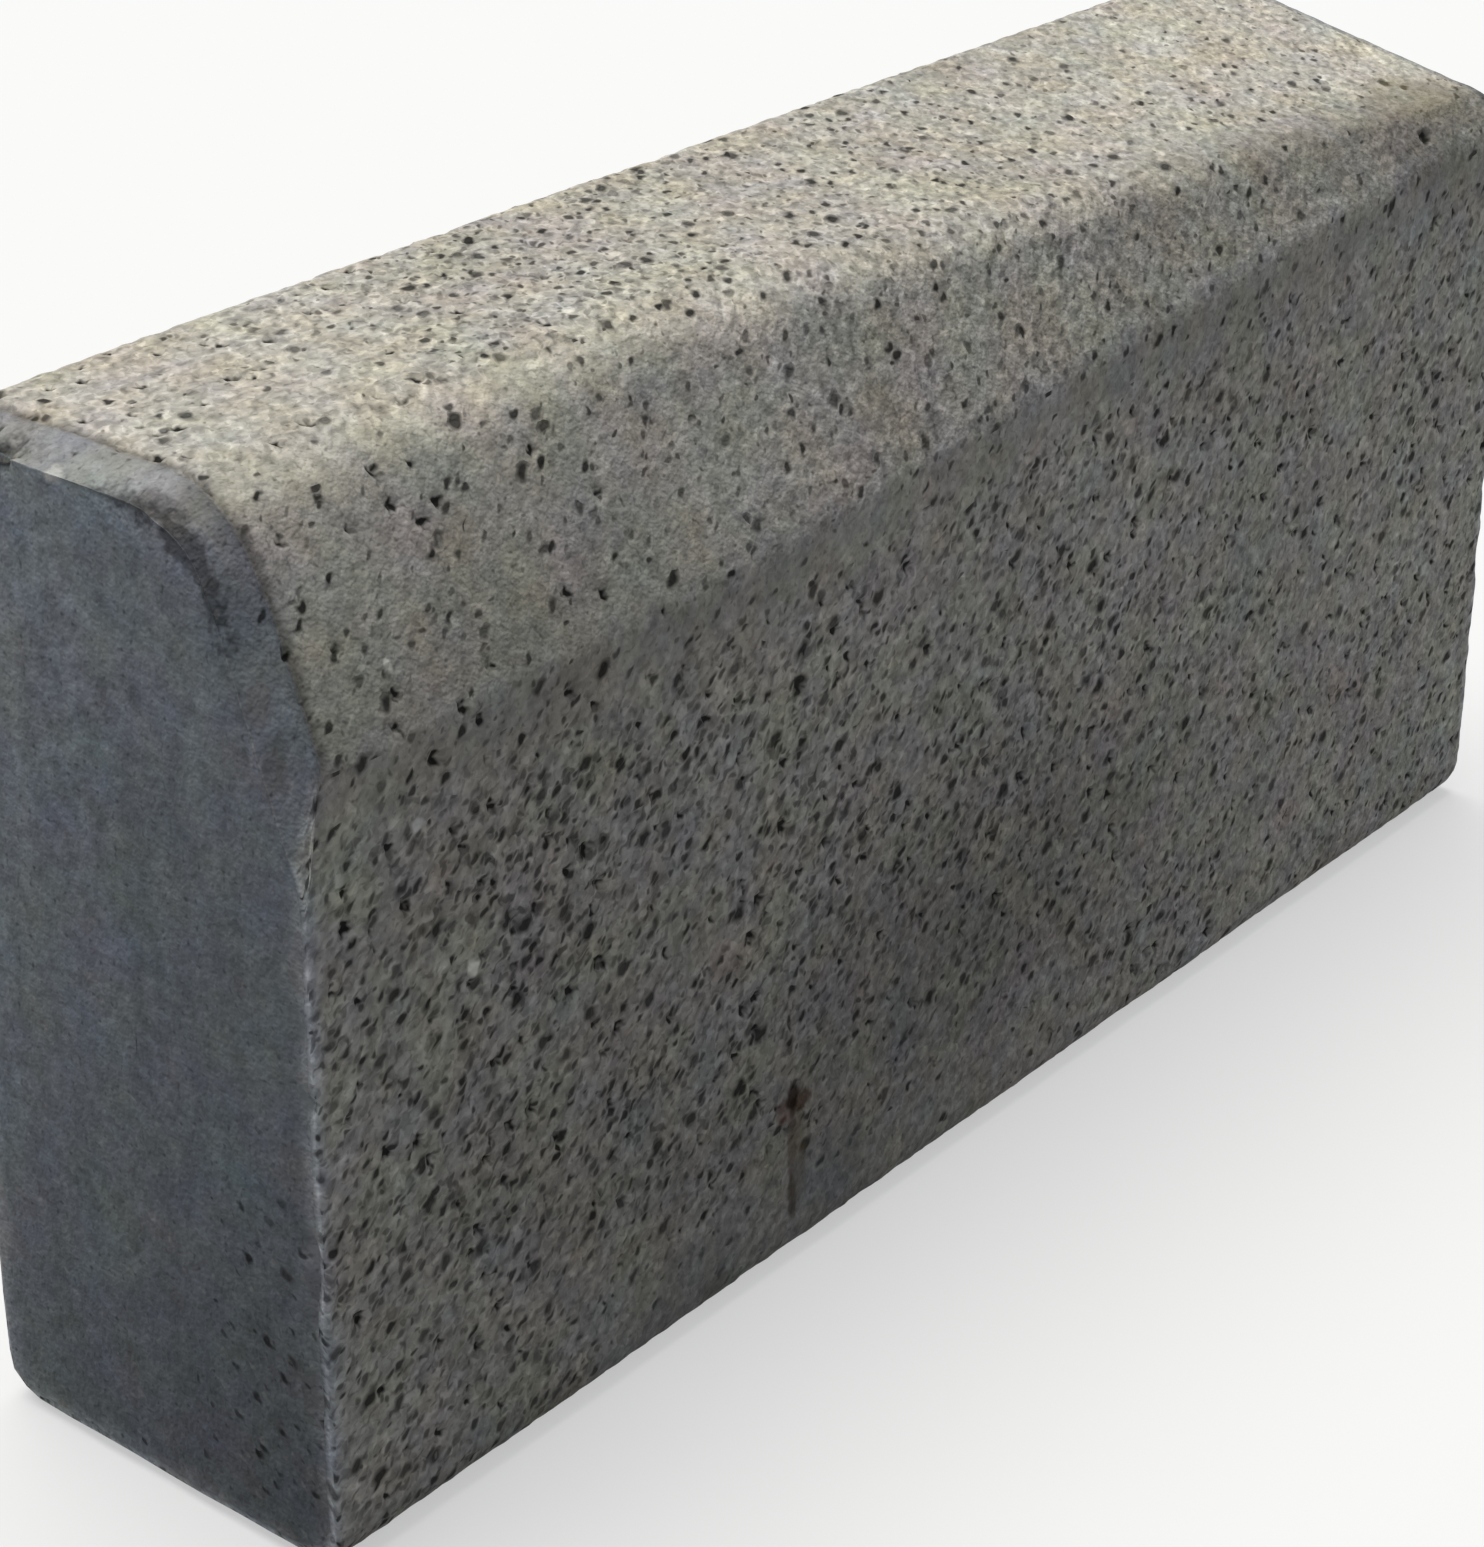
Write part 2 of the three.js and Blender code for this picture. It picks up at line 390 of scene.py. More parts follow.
def stone_places(points, normals):
    """Where each point is, and how far it belongs to each place on the stone, from 0 to 1."""
    at = SimpleNamespace(rise=normals[..., 2], rim=end_distance(points))
    at.x, at.y, at.z = np.moveaxis(points, -1, 0)
    from_end = at.x + LENGTH / 2
    size = section_sizes(from_end)
    at.end_face = np.zeros_like(at.x)
    at.end_face[:NEAR_CAP_RINGS + 1] = 1
    at.end_face[-FAR_CAP_RINGS - 1:] = 1
    at.upward = smooth_step(*UPWARD, at.rise)
    at.sloping = smooth_step(*SLOPING, at.rise) * (1 - at.end_face)
    at.facing_road = smooth_step(*FACING_ROAD, -normals[..., 1])
    at.nose = at.sloping * smooth_step(*NOSE_TOP, at.rise)
    at.batter = at.sloping * near_to(at.rise - batter_rise(from_end), BATTER_MATCH)
    at.smooth_batter = at.sloping * fade(at.x, -30, -150) * smooth_step(*BATTER_TOP, at.rise)
    at.behind_nose = at.y - ROAD_Y - size["lean"]
    at.below_crease = HEIGHT - size["drop"] - at.z
    at.band = near_to(at.below_crease - CREASE_BAND / 2, CREASE_BAND / 2) * at.facing_road

    # Low on the road face, to the left of its middle, there are few pores.
    at.quiet = at.facing_road * bell(at.z, 6, 34) * fade(at.x, -185, -145) * fade(at.x, 60, 0)

    # The end chamfers start from the crease, which dips at the battered end.
    above = -at.below_crease + CREASE_DIP * slope(CREASE_CHAMFER_LENGTH, from_end)
    above = fade(above, -6, 3) * fade(BACK_Y - at.y, 0, 4) * (1 - at.end_face)
    width = CREASE_CHAMFER_LENGTH + (CHAMFER_LENGTH - CREASE_CHAMFER_LENGTH) * fade(
        at.z, *CHAMFER_GROWTH)
    past = LENGTH / 2 - np.abs(at.x) - width
    at.chamfer = fade(past, CHAMFER_EDGE, -CHAMFER_EDGE) * above
    at.shaded = at.chamfer * (smooth_step(*SHADE_BEGINS, at.rise)
                              - SHADE_EASE * smooth_step(*SHADE_EASES, at.rise))
    at.witness = near_to(past - WITNESS_GAP, WITNESS_REACH) * above
    from_spall = np.linalg.norm(points[..., 1:] - SPALL_CENTRE, axis=-1)
    at.spall = near_to(at.rim, SPALL_REACH) * near_to(from_spall, SPALL_RUN) * (at.x < 0)
    at.broken = near_to(np.linalg.norm(points - BROKEN_CORNER, axis=-1), BROKEN_REACH)
    return at


CAVITY_SPACING, CAVITY_SHARE = 10 * MM, 0.6
CAVITY_RADII = (1.1 * MM, 2.1 * MM)
CAVITY_RIM = 4 * MM                 # the scattered ones stay this far from an end face's rim
LARGE_CAVITIES = (                  # x, y, z and radius of the largest, mm
    (-199, -28, 241, 2.4), (-189, -30, 240, 1.7), (-199, -33, 235, 2.0), (-187, -34, 232, 2.0),
    (-193, -36, 230, 1.9), (-212, -34, 234, 1.7), (-230, -32, 237, 2.0), (-156, -33, 234, 1.9),
    (-143, -41, 222, 1.7), (-163, -49, 207, 1.7), (-153, -51, 204, 1.7), (-240, -43, 218, 1.8),
    (-228, -44, 215, 1.6), (-191, -52, 201, 1.6), (-218, -51, 204, 1.7), (-202, -55, 196, 2.0),
    (-197, -55, 191, 2.0), (-221, -54, 198, 1.8), (-211, -55, 187, 2.4), (-169, -55, 187, 1.8),
    (-161, -55, 181, 1.7), (-164, -55, 147, 2.3), (-169, -55, 151, 1.8), (-199, -55, 150, 1.7),
    (-188, -55, 138, 1.9), (-160, -55, 117, 2.4), (-170, -55, 114, 2.2), (-195, -55, 107, 1.8),
    (-184, -55, 90, 1.9), (-204, -55, 62, 2.0), (-196, -55, 44, 1.7), (-106, -55, 100, 2.2),
    (-104, -55, 74, 1.9), (-70, -55, 160, 1.8), (40, -55, 150, 1.8), (20, -55, 96, 1.8),
    (160, -55, 121, 2.3), (202, -50, 224, 2.8))


def stone_cavities(points, at, side):
    """How far inside a cavity each point is, 1 - (distance / radius)^2, and its radius.

    Small ones are scattered over the road face, the batter and the nose. Most are closed on
    the chamfers, in the band under the crease, on the batter and low on the road face, and
    beyond the battered end's stretch on the nose too. The largest have set places.
    """
    inside, reach = cavities(side, CAVITY_SPACING, *CAVITY_RADII, CAVITY_SHARE, SEED + 5)
    closed = np.maximum.reduce([at.chamfer, at.band, at.smooth_batter])
    hole = inside * np.maximum(at.facing_road, at.sloping) * (at.rim > CAVITY_RIM) * left_by((
        (0.8, closed),
        (0.7, at.sloping, fade(at.x, -130, -40)),
        (0.9, at.quiet)))
    for *centre, radius in LARGE_CAVITIES:
        here = 1 - ((points - np.array(centre) * MM) ** 2).sum(-1) / (radius * MM) ** 2
        reach = np.where(here > hole, radius * MM, reach)
        hole = np.maximum(hole, here)
    return np.clip(hole, 0, 1), reach


def blurred(field, passes):
    """The field with each ring mixed a quarter into both neighbours, a number of times."""
    for _ in range(passes):
        padded = np.concatenate([field[:1], field, field[-1:]])
        field = (padded[:-2] + 2 * padded[1:-1] + padded[2:]) / 4
    return field


def road_grime_and_shade(at, cloud):
    """How much of the light is taken by dirt and by painted shade, or given back as painted
    light where a row's amount is below 0. The painted shade makes the road face darker and
    carries the nose's shade back onto the top beside it, and the painted light lightens the nose
    where it rolls over. Each row is an amount, the place that it lies on and how it fades along
    x, along y or up z."""
    grime_and_shade = layered((
        (0.06, at.facing_road),
        (0.17, at.facing_road, fade(at.x, 110, -120)),
        (0.34, at.facing_road, bell(at.x, -20, 145), bell(at.z, 55, 62)),
        (0.08, at.facing_road, at.band),
        (0.13, at.facing_road, fade(at.x, -20, 90), bell(at.below_crease, 0, 38)),
        (0.08, at.batter, fade(at.x, -60, 60)),
        (0.22, at.batter, fade(at.x, 60, -160), fade(at.z, 238, 200), 1 - at.chamfer),
        (-0.12, at.sloping, smooth_step(*NOSE_ROLL, at.rise), bell(at.x, -95, 80)),   # lighter: painted light where the nose rolls over
        (0.08, at.batter, bell(at.x, -50, 40)),
        (-0.09, at.facing_road, bell(at.x, -70, 60), bell(at.z, 165, 40)),            # lighter here
        (0.02, at.upward),
        (0.10, at.upward, fade(at.x, 260, 80)),
        (0.05, at.upward, bell(at.x, -60, 110)),
        (0.20, at.upward, bell(BACK_Y - at.y, 0, 9), fade(at.x, -60, 200)),
        # painted shade: the nose's shade carried back onto the top beside it, towards the square
        # end
        (0.42, at.upward, bell(at.behind_nose, 0, 13), fade(at.x, 0, 190))))
    end_darkening = layered((                # an end face darker towards its foot and towards the road
        (0.48, 1 - at.z / HEIGHT),
        (0.30, 0.5 - at.y / WIDTH),
        (-0.05,)))
    grime_and_shade = np.where(at.end_face > 0, end_darkening, grime_and_shade)
    return np.clip(grime_and_shade + 0.12 * (cloud - 0.5) * (1 - at.upward), 0, 1)


def stone_marks(at, hole, patch, cloud):
    """The marks that the material reads: where its colour changes, and where pores are open,
    dragged or filled."""
    openness = (0.55 + 0.9 * patch) * left_by((
        (0.65, at.smooth_batter),
        (0.6, at.band),
        (0.97, at.chamfer),
        (0.15, at.upward),
        (1.0, 0.3 + 0.4 * at.sloping, fade(at.x, -60, 160)),
        (0.75, at.upward, fade(at.x, -120, -195)),
        (0.5, at.nose, bell(at.x, -40, 50)),
        (0.9, at.quiet)))
    pitted = fade(at.y, 5, -45) * fade(at.z, 135, 60)       # an end face, low and by the road
    dragged = fade(at.x + 0.8 * (at.z - 60 * MM), 60, -120)
    crease_line = bell(at.below_crease, -2, 2) * fade(at.x, -60, 120)
    bright = bell(at.rim, 0, 3) * smooth_step(*UPRIGHT, at.rise) * fade(at.z, 178, 165)
    return {
        "upward": at.upward,
        "end_face": at.end_face,
        "chamfer": at.chamfer,
        "hole": hole,
        "shaded": at.shaded,
        # painted shade in the groove that the tamper leaves beside each end chamfer
        "witness": at.witness * np.where(at.x < 0, 1, 0.4),
        "dark_rim": np.maximum(at.spall, at.broken),
        "grime_and_shade": road_grime_and_shade(at, cloud),
        # painted shade low on the road face, where the bed's round turns down to the floor, with
        # some dirt there too
        "foot": bell(at.z, 0, 9) * at.facing_road * fade(at.x, 170, -100),
        "openness": np.where(at.end_face > 0, 0.5 * pitted, openness),
        "drag": at.facing_road * (0.3 + 0.7 * dragged) * left_by(((1, at.band), (0.95, at.quiet))),
        "sand": left_by(((0.65, at.end_face), (0.4, at.smooth_batter), (0.4, at.band),
                         (0.4, at.chamfer))),
        "bright_arris": np.maximum(bright, 0.2 * crease_line)}


WAVE_SIZE, WAVE_DEPTH = 38 * MM, 0.4 * MM
GRAIN_SIZE, GRAIN_DEPTH = 2.6 * MM, 0.45 * MM
FLAKE_SIZE = 4.5 * MM               # of the breaks along an arris
PATCH_SIZE = 26 * MM
CAVITY_DEPTH = 0.8                  # of the radius
ARRIS_WEAR, CHIP_DEPTH = 0.6 * MM, 1.6 * MM
WITNESS_DEPTH, SPALL_DEPTH, BROKEN_DEPTH = 0.7 * MM, 1.3 * MM, 3 * MM
RIM_REACH, FOOT_REACH, BACK_REACH = 2.5 * MM, 10 * MM, 4 * MM   # how far in an arris is worn
FOOT_SHARE, BACK_SHARE = 0.15, 0.5  # of the wear of an end face's rim
FAR_CHIPS = 0.3                     # of the chips at the battered end
NORMAL_BLUR = 2                     # passes, so that the skin doesn't cross itself at an edge


def worn_stone():
    """The stone's surface: the form moved inwards by waves, grain, cavities, worn and chipped
    arrises and the line that the tamper leaves beside each end chamfer."""
    points, normals = stone_form()
    at = stone_places(points, normals)
    sizes = (WAVE_SIZE, GRAIN_SIZE, FLAKE_SIZE, PATCH_SIZE, 3 * PATCH_SIZE)
    waves, grain, flake, patch, cloud = (
        lattice_noise(points, size, SEED + k) for k, size in enumerate(sizes))
    at.spall *= smooth_step(0.0, 0.4, flake)
    at.broken *= smooth_step(0.1, 0.4, flake)
    side = np.stack([way_along(points), way_round(points)], -1)
    hole, reach = stone_cavities(points, at, side[:, :-1])
    arris = np.maximum.reduce([
        near_to(at.rim, RIM_REACH),
        FOOT_SHARE * near_to(np.hypot(ROAD_Y - at.y, at.z), FOOT_REACH),
        BACK_SHARE * near_to(np.hypot(BACK_Y - at.y, HEIGHT - at.z), BACK_REACH)])
    chip = arris * smooth_step(0.55, 0.8, flake) * smooth_step(0.35, 0.65, patch)
    chip *= np.where(at.x < 0, 1, FAR_CHIPS)
    depth = layered((
        (WAVE_DEPTH, waves),
        (GRAIN_DEPTH, grain, 1 - 0.5 * at.end_face),
        (CAVITY_DEPTH, reach, hole),
        (CHIP_DEPTH, chip),
        (ARRIS_WEAR, arris, flake),
        (WITNESS_DEPTH, at.witness),
        (SPALL_DEPTH, at.spall),
        (BROKEN_DEPTH, at.broken)))
    skin = points - blurred(normals, NORMAL_BLUR) * depth[..., None]
    return grid_object("kerb_stone_surface", skin, surface_places(points, side),
                       stone_marks(at, hole, patch, cloud))


def grid_object(name, points, place, marks):
    """Makes a closed tube of quads from a grid whose first and last rings meet on a spine, with
    each mark as a number on every point and the places along the surface as a UV map. Points
    that share a place are then joined."""
    rings, count = points.shape[:2]
    index = np.arange(rings * count).reshape(rings, count)
    following = np.roll(index, -1, 1)
    quads = np.stack([index[:-1], following[:-1], following[1:], index[1:]], -1).reshape(-1, 4)
    mesh = bpy.data.meshes.new(name)
    mesh.vertices.add(index.size)
    mesh.vertices.foreach_set("co", points.reshape(-1))
    mesh.loops.add(quads.size)
    mesh.loops.foreach_set("vertex_index", quads.reshape(-1))
    mesh.polygons.add(len(quads))
    mesh.polygons.foreach_set("loop_start", np.arange(0, quads.size, 4))
    for mark, values in marks.items():
        attribute = mesh.attributes.new(mark, "FLOAT", "POINT")
        attribute.data.foreach_set("value", values.reshape(-1).astype(np.float32))
    layer = mesh.uv_layers.new(name="surface")
    layer.data.foreach_set("uv", place.reshape(-1).astype(np.float32))
    mesh.update(calc_edges=True)
    body = bmesh.new()
    body.from_mesh(mesh)
    bmesh.ops.remove_doubles(body, verts=body.verts, dist=JOIN_WITHIN)
    body.to_mesh(mesh)
    body.free()
    mesh.shade_smooth()
    made = bpy.data.objects.new(name, mesh)
    bpy.context.collection.objects.link(made)
    return made


# ---- Materials ----

def linear(colour):
    """An sRGB hex colour as linear RGBA."""
    parts = [int(colour[i:i + 2], 16) / 255 for i in (1, 3, 5)]
    return (*[p / 12.92 if p <= 0.04045 else ((p + 0.055) / 1.055) ** 2.4 for p in parts], 1)


FACTOR, FIRST, SECOND, MIXED = 0, 6, 7, 2   # the colour sockets of a Mix node


def add(tree, kind, inputs, output=0, **settings):
    """Adds a node with its settings, fills its sockets with values or links, and gives one of
    its outputs."""
    made = tree.nodes.new(kind)
    for name, value in settings.items():
        setattr(made, name, value)
    for name, value in inputs.items():
        if isinstance(value, bpy.types.NodeSocket):
            tree.links.new(value, made.inputs[name])
        else:
            made.inputs[name].default_value = value
    return made.outputs[output] if made.outputs else None


def new_material(name):
    """An empty node material."""
    material = bpy.data.materials.new(name)
    material.use_nodes = True
    material.node_tree.nodes.clear()
    return material, material.node_tree


WIDE_PORES = (8.5 * MM, 2.2 * MM, 0.6)      # spacing, widest radius, share of the cells
MIDDLING_PORES = (5.0 * MM, 1.45 * MM, 0.8)
FINE_PORES = (3.4 * MM, 0.9 * MM, 0.45)
DRAGGED_PORES = (6.5 * MM, 1.25 * MM, 0.8)
PALE_GRAINS = (4.2 * MM, 1.0 * MM, 0.4)
PORE_EDGE = 0.55         # of a pore's own radius, over which its edge darkens
NARROWEST_PORE = 0.5     # of the widest radius
FAINTEST_PORE = 0.45     # darkness of the narrowest pores, where the widest have 1
FINE_DARKNESS = 0.9
PORE_STRETCH, PORE_SLANT = 1.6, math.radians(39)
DRAG_STRETCH, DRAG_SLANT = 2.2, math.radians(42)
BLOT_EDGE = 0.55         # of the way in from a blot's rim, where it is full


def mottle(tree, where, size, low, high, detail=1.0, dimensions="3D"):
    """Cloudy tone between two values, with clouds of about this size in metres."""
    noise = add(tree, "ShaderNodeTexNoise", {
        "Vector": where, "Scale": 1 / size, "Detail": detail}, noise_dimensions=dimensions)
    return add(tree, "ShaderNodeMapRange", {
        "Value": noise, "From Min": 0.3, "From Max": 0.7, "To Min": low, "To Max": high},
        clamp=False)


def pores(tree, place, spacing, widest, share, openness, stretch=PORE_STRETCH,
          slant=PORE_SLANT):
    """How dark air pores are, over the surface's own two coordinates, and 0 between them.

    Each cell of a flat Voronoi pattern of this spacing draws a radius up to the widest, and
    the wider a pore is, the darker. Only this share of the cells, times openness, has a pore.
    stretch draws the pores out, slant turns them.
    """
    turned = add(tree, "ShaderNodeMapping", {
        "Vector": place, "Rotation": (0, 0, slant), "Scale": (spacing * stretch, spacing, 1)},
        vector_type="TEXTURE")
    distance = add(tree, "ShaderNodeTexVoronoi", {"Vector": turned, "Scale": 1}, "Distance",
                   voronoi_dimensions="2D")
    draw = add(tree, "ShaderNodeSeparateColor", {"Color": distance.node.outputs["Color"]}, "Red")
    width = draw.node.outputs["Blue"]
    barred = add(tree, "ShaderNodeMath", {0: openness, 1: -share, 2: 1},
                 operation="MULTIPLY_ADD")
    present = add(tree, "ShaderNodeMath", {0: draw, 1: barred}, operation="GREATER_THAN")
    radius = add(tree, "ShaderNodeMapRange", {
        "Value": width, "To Min": NARROWEST_PORE * widest / spacing, "To Max": widest / spacing})
    radius = add(tree, "ShaderNodeMath", {0: radius, 1: present}, operation="MULTIPLY")
    inside = add(tree, "ShaderNodeMath", {0: radius, 1: distance}, operation="SUBTRACT")
    edge = add(tree, "ShaderNodeMath", {0: radius, 1: PORE_EDGE}, operation="MULTIPLY")
    cover = add(tree, "ShaderNodeMath", {0: inside, 1: edge}, operation="DIVIDE", use_clamp=True)
    darkness = add(tree, "ShaderNodeMapRange", {"Value": width, "To Min": FAINTEST_PORE})
    return add(tree, "ShaderNodeMath", {0: cover, 1: darkness}, operation="MULTIPLY")


def blot(tree, where, centre, reach, strength):
    """A soft ellipsoid: of this strength at its centre, 0 at its reach along each axis, in
    metres."""
    scale = [1 / r for r in reach]
    placed = add(tree, "ShaderNodeMapping", {
        "Vector": where, "Location": [-c * s for c, s in zip(centre, scale)], "Scale": scale})
    ball = add(tree, "ShaderNodeTexGradient", {"Vector": placed}, "Fac",
               gradient_type="SPHERICAL")
    return add(tree, "ShaderNodeMapRange", {
        "Value": ball, "From Max": BLOT_EDGE, "To Max": strength},
        interpolation_type="SMOOTHSTEP")


MARKS = ("upward", "end_face", "chamfer", "shaded", "hole", "witness", "dark_rim", "grime_and_shade",
         "foot", "openness", "drag", "sand", "bright_arris")

PASTE = "#b8b6b0"                   # cement paste on the upright faces
BLEACHED_AND_LIT = "#ccc7bb"                # the same on top, washed by rain and painted lighter where the light falls from above
MOULDED_IN_SHADE = "#929aa2"                 # the fine skin that the steel mould leaves, painted darker and bluer as the shade on the ends
RUBBED = "#c4c9d0"                  # an arris rubbed down to fresh paste
COOL, WARM = "#f6f8ff", "#fffcf4"   # tints that drift over the whole stone
SAND = "#c4c2bc"

WANDER_SIZE, WANDER = 2.4 * MM, (1.5 * MM,) * 3     # how outlines of pores and stains wander
TINT_SIZE, TINT_SHARE = 22 * MM, 0.08
DAMP_SIZE = 13 * MM
# Most sand is finer than half a millimetre, too fine to show, and is drawn this coarse.
GRIT_SIZE, GRIT_TONES, GRIT_STRETCH = 1.3 * MM, (0.80, 1.20), 1.5
CLUSTERS = (2.6 * MM, 0.73, 1.27)   # size, darkest and palest tone
CLOUDS = ((55 * MM, 0.95, 1.05), (20 * MM, 0.94, 1.06), (8 * MM, 0.91, 1.09))
END_CLOUDS = (5 * MM, 0.85, 1.15)
BROAD_STREAKS, NARROW_STREAKS = (9 * MM, 0.94, 1.06), (5 * MM, 0.93, 1.07)
WORM_SIZE, WORM_TONES, WORM_DARKNESS = 2.8 * MM, (0.40, 0.30), 0.5
RAGGED_SIZE, RAGGED_TONES = 1.5 * MM, (0.7, 1.2)    # the broken edge of a cavity
SPALL_SIZE, SPALL_TONES = 2.4 * MM, (0.82, 1.12)
STREAKED = (1, 1, 0.14)             # a streak is drawn out down the stone seven times
PALE_GRAIN_SHARE = 0.4
PASTE_SHEEN, PORE_SHEEN = 0.5, 0.2  # specular level
DULL_STAIN = 0.6                    # a stain stronger than this has no sheen
# The skin is as rough as fine sand, which is too fine to show, and is drawn this coarse.
TEXTURE_SIZE, TEXTURE_HEIGHT = 1.4 * MM, 0.3
BUMP_HEIGHT, BUMP_STRENGTH = 1 * MM, 0.8
ROUGHNESS = 0.92

STAINS = (                          # place, reach (mm), strength, colour
    # rust that runs down from an iron fleck, with its smears and the fleck itself
    ((-87.2, -55, 30), (4.6, 8, 19), 0.55, "#564a35"),
    ((-89.3, -55, 33), (2.5, 8, 15), 0.45, "#43332a"),
    ((-89.2, -55, 19), (2.3, 8, 9), 0.65, "#40301f"),
    ((-91.8, -55, 45), (4.4, 8, 4.4), 0.60, "#5a3c33"),
    ((-86.0, -55, 46), (5.4, 8, 4.0), 0.75, "#4a3528"),
    ((-89.3, -55, 48), (3.2, 8, 6.0), 0.85, "#21150f"),
    # blue-grey paste to both sides of it
    ((-74, -55, 22), (24, 8, 15), 0.30, "#585d63"),
    ((-128, -55, 16), (24, 8, 13), 0.30, "#585c62"),
    # olive patches at the foot
    ((-117.6, -55, 8), (9, 8, 5), 0.5, "#3f4030"),
    ((-113, -55, 1), (12, 8, 5), 0.5, "#3a3a2e"),
    # white specks
    ((-201.4, -55, 133.7), (2.6, 8, 2.6), 0.9, "#f0eee6"),
    ((-216.8, -55, 174.3), (2.4, 8, 2.2), 0.7, "#e6e6e4"),
    ((-217, -48, 209), (1.8, 8, 1.8), 0.7, "#d8d6ce"),
    # a dark and an ochre patch on the far end of the batter and the nose
    ((200, -52, 218), (24, 14, 9), 0.35, "#474740"),
    ((212, -38, 232), (26, 16, 12), 0.35, "#8f8768"),
    # a white chip, and four pores as dark blots of painted shade, on the battered end's face
    ((-250, 14.6, 245), (5, 3.2, 3.0), 0.8, "#d2d1cc"),
    ((-250, 22, 200), (5, 2.4, 4.0), 0.33, "#33383a"),
    ((-250, 3, 200), (5, 2.2, 4.0), 0.36, "#2c3032"),
    ((-250, -7, 201), (5, 3.2, 4.0), 0.33, "#2c3032"),
    ((-250, 6, 168), (5, 3.0, 3.4), 0.38, "#2c3032"),
    # scuffs on the chamfer above the crease
    ((-247, -41, 209), (6, 3.5, 7), 0.3, "#6e625a"),
    ((-247, -45, 197), (6, 3.5, 8), 0.4, "#4c4c3c"))


def concrete_paste(tree, where, mark):
    """The paste's colour: grey on the upright faces, bleached on top with painted light from
    above, blue-grey on the mould-cast ends and on the chamfers where they are steep, partly the
    mould's skin and partly painted shade, pale on the rubbed arrises. A weak tint and damp
    patches drift over it."""
    # A chamfer takes more of the blue-grey where it is steep: partly the mould's skin and partly
    # painted shade.
    steep = add(tree, "ShaderNodeMapRange", {
        "Value": mark["upward"], "To Min": 1.0, "To Max": 0.6})
    moulded_and_shaded = add(tree, "ShaderNodeMath", {0: mark["chamfer"], 1: steep}, operation="MULTIPLY")
    moulded_and_shaded = add(tree, "ShaderNodeMath", {0: moulded_and_shaded, 1: mark["end_face"]}, operation="MAXIMUM")
    colour = linear(PASTE)
    # Over the grey paste: painted light on the top, painted shade on the ends and steep chamfers,
    # pale rubbed arrises.
    for cover, tone in ((mark["upward"], BLEACHED_AND_LIT), (moulded_and_shaded, MOULDED_IN_SHADE),
                        (mark["bright_arris"], RUBBED)):
        colour = add(tree, "ShaderNodeMix", {
            FACTOR: cover, FIRST: colour, SECOND: linear(tone)}, MIXED, data_type="RGBA")
    tint = add(tree, "ShaderNodeTexNoise", {
        "Vector": where, "Scale": 1 / TINT_SIZE, "Detail": 1.0}, "Color")
    colour = add(tree, "ShaderNodeMix", {
        FACTOR: TINT_SHARE, FIRST: colour, SECOND: tint}, MIXED, data_type="RGBA",
        blend_type="OVERLAY")
    damp = mottle(tree, where, DAMP_SIZE, 0.0, 1.0, detail=2.0)
    damp = add(tree, "ShaderNodeMix", {
        FACTOR: damp, FIRST: linear(COOL), SECOND: linear(WARM)}, MIXED, data_type="RGBA")
    return add(tree, "ShaderNodeMix", {FACTOR: 1, FIRST: colour, SECOND: damp}, MIXED,
               data_type="RGBA", blend_type="MULTIPLY")


def sand_and_clouds(tree, colour, where, place, drawn_out, mark):
    """The colour times the tones of single sand grains, their clusters, cloudy patches, and
    streaks down the upright faces, each at its own strength."""
    streaks = add(tree, "ShaderNodeMapping", {"Vector": where, "Scale": STREAKED})
    grit = add(tree, "ShaderNodeTexVoronoi", {"Vector": drawn_out, "Scale": 1 / GRIT_SIZE},
               "Color", voronoi_dimensions="2D")
    grit = add(tree, "ShaderNodeSeparateColor", {"Color": grit}, "Green")
    grit = add(tree, "ShaderNodeMapRange", {
        "Value": grit, "To Min": GRIT_TONES[0], "To Max": GRIT_TONES[1]})
    banded = add(tree, "ShaderNodeMapRange", {
        "Value": mark["end_face"], "To Min": 0.2, "To Max": 1.0})
    for tone, strength in (
            (grit, mark["sand"]),
            (mottle(tree, drawn_out, *CLUSTERS, dimensions="2D"), mark["sand"]),
            *((mottle(tree, where, *cloud), 1) for cloud in CLOUDS),
            (mottle(tree, place, *END_CLOUDS, 2.0, "2D"), mark["end_face"]),
            (mottle(tree, streaks, *BROAD_STREAKS, detail=2.0), banded),
            (mottle(tree, streaks, *NARROW_STREAKS, detail=2.0), 1)):
        colour = add(tree, "ShaderNodeMix", {FACTOR: strength, FIRST: colour, SECOND: tone},
                     MIXED, data_type="RGBA", blend_type="MULTIPLY")
    return colour


